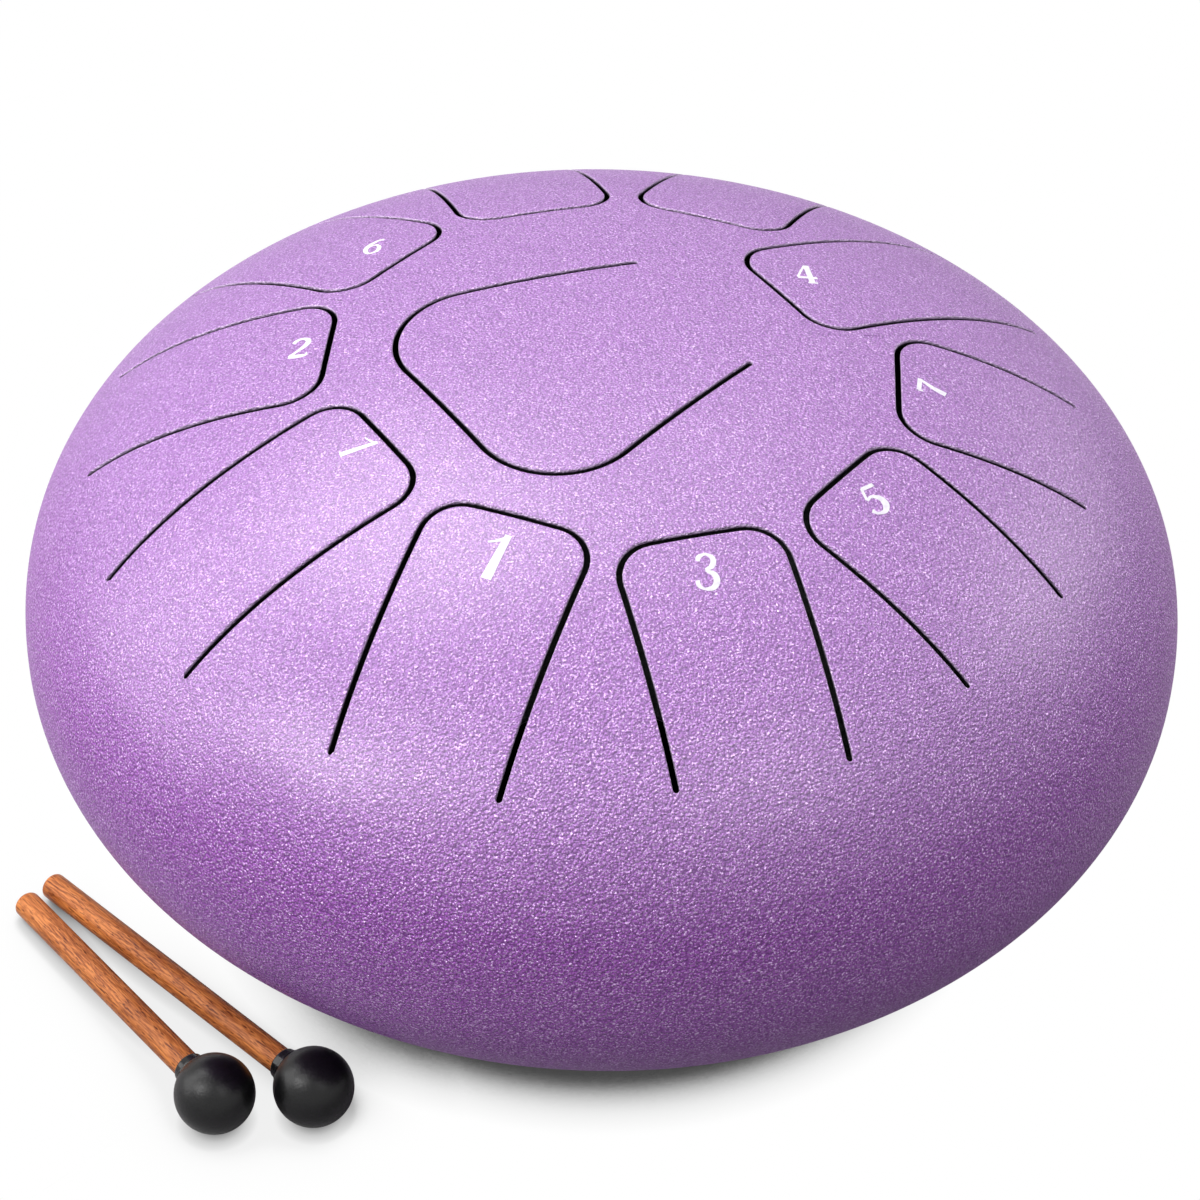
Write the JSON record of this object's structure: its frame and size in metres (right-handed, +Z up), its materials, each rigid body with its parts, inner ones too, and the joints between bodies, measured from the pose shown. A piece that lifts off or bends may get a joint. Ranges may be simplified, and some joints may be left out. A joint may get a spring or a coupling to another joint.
{
  "type": "steel tongue drum",
  "caption": "Lens-shaped steel tongue drum with cut tongues on its crown, a sound hole and rubber feet beneath, and ball mallets lying beside it.",
  "frame": {"origin": "on the drum's axis, on the ground that the feet stand on", "axes": "+Z up along the drum's axis; -Y towards the player's side with the low 1 tongue, where the picture is taken from; +X to the player's right"},
  "size_m": [0.3114, 0.305, 0.168],
  "materials": {
    "steel_coat": "fine wrinkle powder coat with a metallic sheen",
    "bare_steel": "zinc plated",
    "foot_rubber": "matte",
    "mallet_wood": "oiled reddish hardwood with dark pores",
    "collar_gloss": "glossy",
    "mallet_rubber": "matte, finely grained"
  },
  "bodies": {
    "drum": {"top_shell": "steel_coat", "bottom_shell": "steel_coat", "seam_weld": "bare_steel", "foot_front_left": "foot_rubber", "foot_front_right": "foot_rubber", "foot_back_left": "foot_rubber", "foot_back_right": "foot_rubber", "foot_washers": "bare_steel", "foot_screws": "bare_steel", "foot_nuts": "bare_steel"},
    "tongue_low_1": {"tongue_low_1": "steel_coat"},
    "tongue_3": {"tongue_3": "steel_coat"},
    "tongue_5": {"tongue_5": "steel_coat"},
    "tongue_7": {"tongue_7": "steel_coat"},
    "tongue_4": {"tongue_4": "steel_coat"},
    "tongue_back_right": {"tongue_back_right": "steel_coat"},
    "tongue_back_left": {"tongue_back_left": "steel_coat"},
    "tongue_6": {"tongue_6": "steel_coat"},
    "tongue_2": {"tongue_2": "steel_coat"},
    "tongue_high_1": {"tongue_high_1": "steel_coat"},
    "tongue_centre": {"tongue_centre": "steel_coat"},
    "left_mallet": {"left_mallet_stick": "mallet_wood", "left_mallet_collar": "collar_gloss", "left_mallet_head": "mallet_rubber"},
    "right_mallet": {"right_mallet_stick": "mallet_wood", "right_mallet_collar": "collar_gloss", "right_mallet_head": "mallet_rubber"}
  },
  "joints": [
    {"name": "tongue_low_1_flex", "type": "hinge", "parent": "drum", "child": "tongue_low_1", "pos_m": [-0.04193, -0.12137, 0.13443], "axis": [-0.9421, 0.3355, 0], "range_deg": [-0.5, 0.5], "stiffness_Nm_per_rad": 20},
    {"name": "tongue_3_flex", "type": "hinge", "parent": "drum", "child": "tongue_3", "pos_m": [0.03794, -0.12012, 0.13638], "axis": [-0.9568, -0.2907, 0], "range_deg": [-0.5, 0.5], "stiffness_Nm_per_rad": 20},
    {"name": "tongue_5_flex", "type": "hinge", "parent": "drum", "child": "tongue_5", "pos_m": [0.0991, -0.07374, 0.1382], "axis": [-0.6018, -0.7986, 0], "range_deg": [-0.5, 0.5], "stiffness_Nm_per_rad": 20},
    {"name": "tongue_7_flex", "type": "hinge", "parent": "drum", "child": "tongue_7", "pos_m": [0.12117, -0.00398, 0.1398], "axis": [-0.0366, -0.9993, 0], "range_deg": [-0.5, 0.5], "stiffness_Nm_per_rad": 20},
    {"name": "tongue_4_flex", "type": "hinge", "parent": "drum", "child": "tongue_4", "pos_m": [0.10329, 0.06941, 0.13754], "axis": [0.5577, -0.83, 0], "range_deg": [-0.5, 0.5], "stiffness_Nm_per_rad": 20},
    {"name": "tongue_back_right_flex", "type": "hinge", "parent": "drum", "child": "tongue_back_right", "pos_m": [0.04263, 0.11918, 0.13591], "axis": [0.9432, -0.3322, 0], "range_deg": [-0.5, 0.5], "stiffness_Nm_per_rad": 20},
    {"name": "tongue_back_left_flex", "type": "hinge", "parent": "drum", "child": "tongue_back_left", "pos_m": [-0.03491, 0.12326, 0.13469], "axis": [0.9598, 0.2807, 0], "range_deg": [-0.5, 0.5], "stiffness_Nm_per_rad": 20},
    {"name": "tongue_6_flex", "type": "hinge", "parent": "drum", "child": "tongue_6", "pos_m": [-0.1005, 0.08138, 0.13367], "axis": [0.6293, 0.7771, 0], "range_deg": [-0.5, 0.5], "stiffness_Nm_per_rad": 20},
    {"name": "tongue_2_flex", "type": "hinge", "parent": "drum", "child": "tongue_2", "pos_m": [-0.13027, 0.0085, 0.1326], "axis": [0.0558, 0.9984, 0], "range_deg": [-0.5, 0.5], "stiffness_Nm_per_rad": 20},
    {"name": "tongue_high_1_flex", "type": "hinge", "parent": "drum", "child": "tongue_high_1", "pos_m": [-0.10974, -0.07043, 0.13273], "axis": [-0.5519, 0.8339, 0], "range_deg": [-0.5, 0.5], "stiffness_Nm_per_rad": 20},
    {"name": "tongue_centre_flex", "type": "hinge", "parent": "drum", "child": "tongue_centre", "pos_m": [0.02096, 0.01703, 0.16645], "axis": [0.5592, -0.829, 0], "range_deg": [-0.5, 0.5], "stiffness_Nm_per_rad": 20},
    {"name": "left_mallet_lift", "type": "slide", "parent": "drum", "child": "left_mallet", "axis": [-0.3454, -0.3615, 0.866], "range_m": [0, 0.12]},
    {"name": "right_mallet_lift", "type": "slide", "parent": "drum", "child": "right_mallet", "axis": [-0.3454, -0.3615, 0.866], "range_m": [0, 0.12]}
  ]
}
